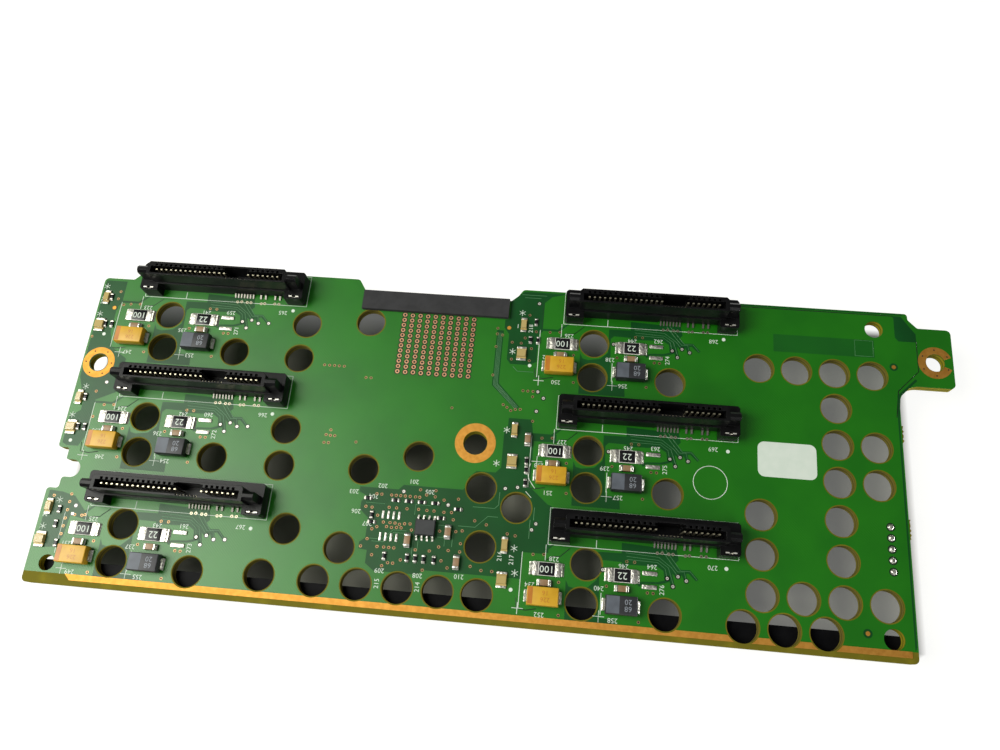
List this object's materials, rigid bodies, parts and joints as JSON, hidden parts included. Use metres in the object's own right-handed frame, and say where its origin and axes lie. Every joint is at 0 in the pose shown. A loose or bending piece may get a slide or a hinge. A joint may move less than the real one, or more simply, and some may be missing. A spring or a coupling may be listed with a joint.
{
  "type": "drive backplane board",
  "caption": "Flat circuit board that carries upright drive connectors in two columns, with rows of air holes, screw holes and a screw tab.",
  "frame": {"origin": "on the axis of the centre screw hole, on the component side of the board", "axes": "+X along the long side towards the screw tab, +Y along the short side towards the notched edge, +Z out of the component side towards the drives"},
  "size_m": [0.2191, 0.084, 0.0203],
  "materials": {
    "green_board": "glass-fibre laminate under green solder mask, satin gloss",
    "gold_plating": "thin gold plating",
    "black_pad": "matt black foam and moulded strip",
    "black_plastic": "moulded glass-filled plastic, fine matt",
    "pale_plastic": "moulded natural nylon",
    "tin_plating": "bright tin plating",
    "yellow_moulding": "moulded epoxy with a polarity stripe",
    "black_moulding": "moulded black epoxy",
    "resistor_ceramic": "glazed film on white ceramic, tinned ends",
    "capacitor_ceramic": "fired tan ceramic, tinned ends",
    "lamp_base": "white moulded base with gold ends",
    "lamp_lens": "clear cast epoxy"
  },
  "bodies": {
    "root": {"black_capacitor_bodies": "black_moulding", "black_capacitor_terminals": "tin_plating", "cable_header_housing": "pale_plastic", "cable_header_pins": "tin_plating", "ceramic_capacitors": "capacitor_ceramic", "circuit_board": "green_board", "connector_hold_downs": "tin_plating", "controller_chip_body": "black_moulding", "controller_chip_leads": "tin_plating", "drive_connector_lower_left": "black_plastic", "drive_connector_lower_right": "black_plastic", "drive_connector_middle_left": "black_plastic", "drive_connector_middle_right": "black_plastic", "drive_connector_upper_left": "black_plastic", "drive_connector_upper_right": "black_plastic", "drive_contacts_lower_left": "gold_plating", "drive_contacts_lower_right": "gold_plating", "drive_contacts_middle_left": "gold_plating", "drive_contacts_middle_right": "gold_plating", "drive_contacts_upper_left": "gold_plating", "drive_contacts_upper_right": "gold_plating", "ground_band": "gold_plating", "indicator_lamp_bases": "lamp_base", "indicator_lamp_lenses": "lamp_lens", "notch_pad": "black_pad", "power_resistors": "resistor_ceramic", "rear_edge_strip": "black_pad", "system_connector_housing": "black_plastic", "yellow_capacitor_bodies": "yellow_moulding", "yellow_capacitor_terminals": "tin_plating"}
  },
  "joints": []
}
